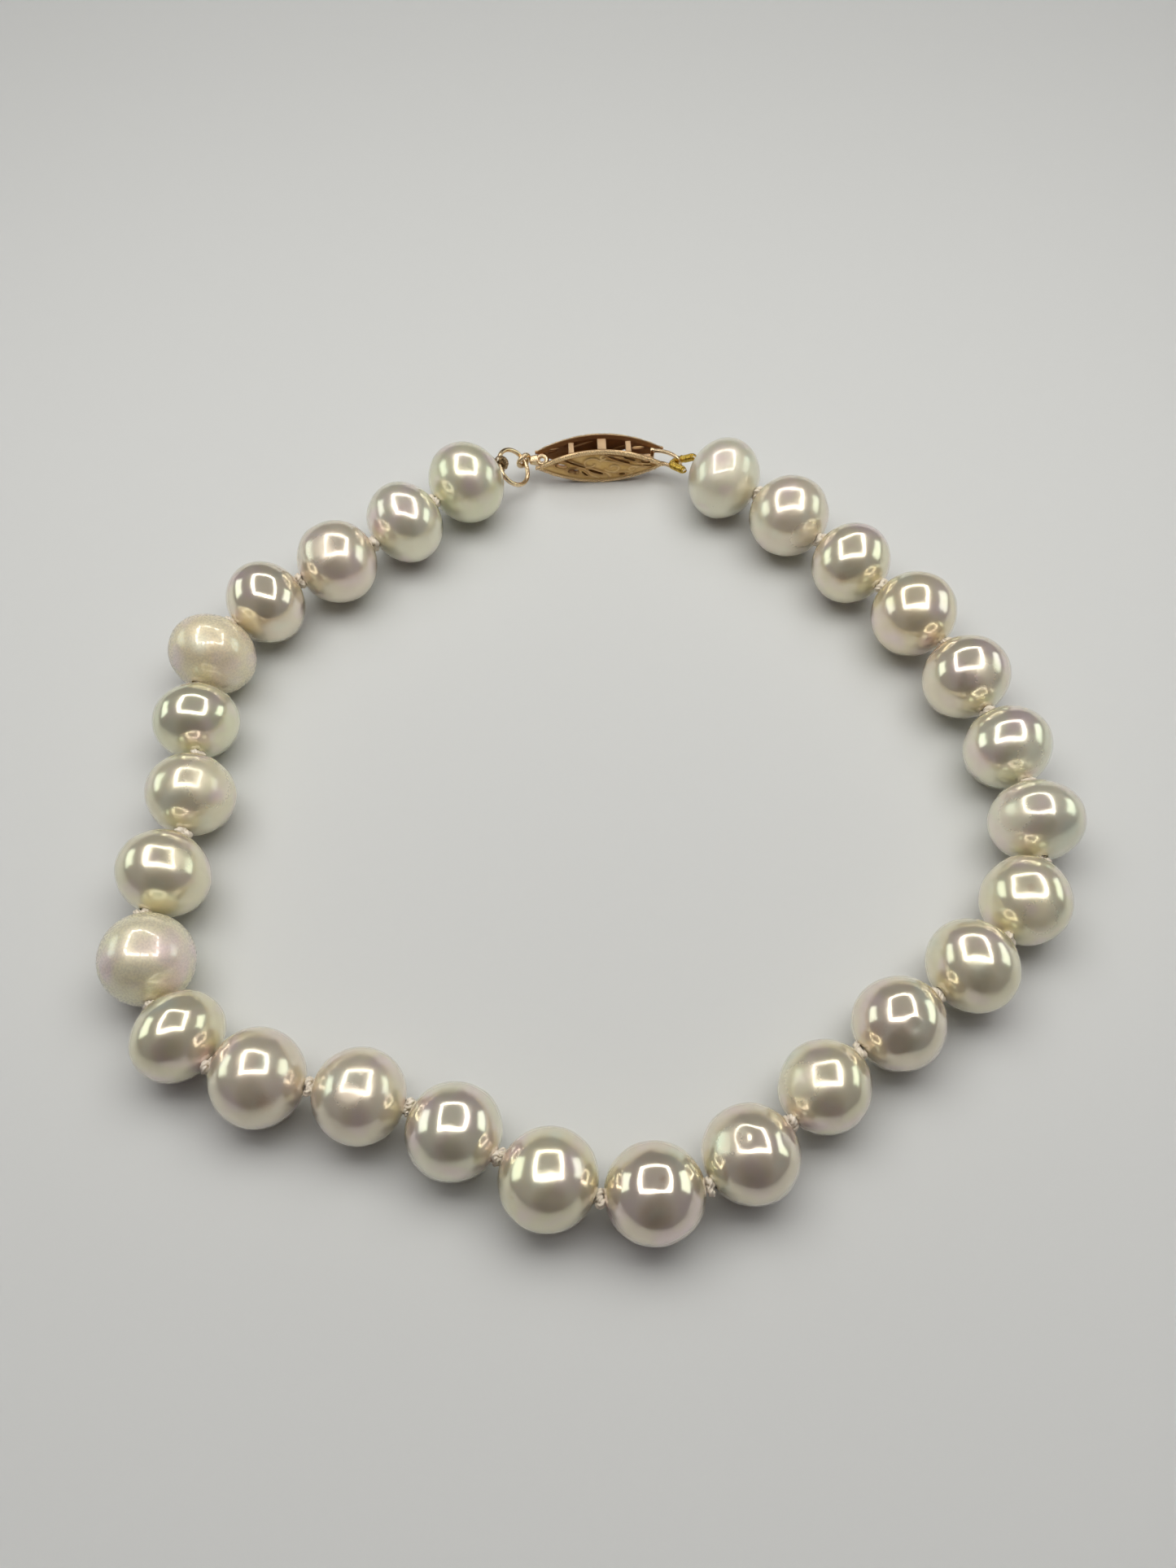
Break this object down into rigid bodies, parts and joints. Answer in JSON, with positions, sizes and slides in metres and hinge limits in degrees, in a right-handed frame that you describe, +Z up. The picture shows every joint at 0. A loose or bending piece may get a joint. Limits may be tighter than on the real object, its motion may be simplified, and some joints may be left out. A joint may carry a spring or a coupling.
{
  "type": "pearl bracelet",
  "caption": "Knotted string of off-round white pearls closed into a loop by a pierced marquise fish-hook clasp, lying flat on a surface.",
  "frame": {"origin": "on the surface that the bracelet lies on, under the middle of its bounding box", "axes": "+Z up, +Y towards the clasp, +X to the right seen from the side opposite the clasp"},
  "size_m": [0.0656, 0.0628, 0.0066],
  "materials": {
    "pearl": "glossy cream-white nacre with soft pink and green overtones",
    "silk": "cream twisted silk, matte",
    "gimp": "bright yellow gold-coloured coiled wire",
    "gold": "polished rose-yellow gold, worn on the edges"
  },
  "bodies": {
    "root": {"pearl_01": "pearl", "pearl_02": "pearl", "pearl_03": "pearl", "pearl_04": "pearl", "pearl_05": "pearl", "pearl_06": "pearl", "pearl_07": "pearl", "pearl_08": "pearl", "pearl_09": "pearl", "pearl_10": "pearl", "pearl_11": "pearl", "pearl_12": "pearl", "pearl_13": "pearl", "pearl_14": "pearl", "pearl_15": "pearl", "pearl_16": "pearl", "pearl_17": "pearl", "pearl_18": "pearl", "pearl_19": "pearl", "pearl_20": "pearl", "pearl_21": "pearl", "pearl_22": "pearl", "pearl_23": "pearl", "pearl_24": "pearl", "pearl_25": "pearl", "pearl_26": "pearl", "pearl_27": "pearl", "silk_thread": "silk", "gimp_left": "gimp", "gimp_right": "gimp", "jump_ring": "gold", "clasp_body": "gold", "clasp_hook": "gold"}
  },
  "joints": []
}
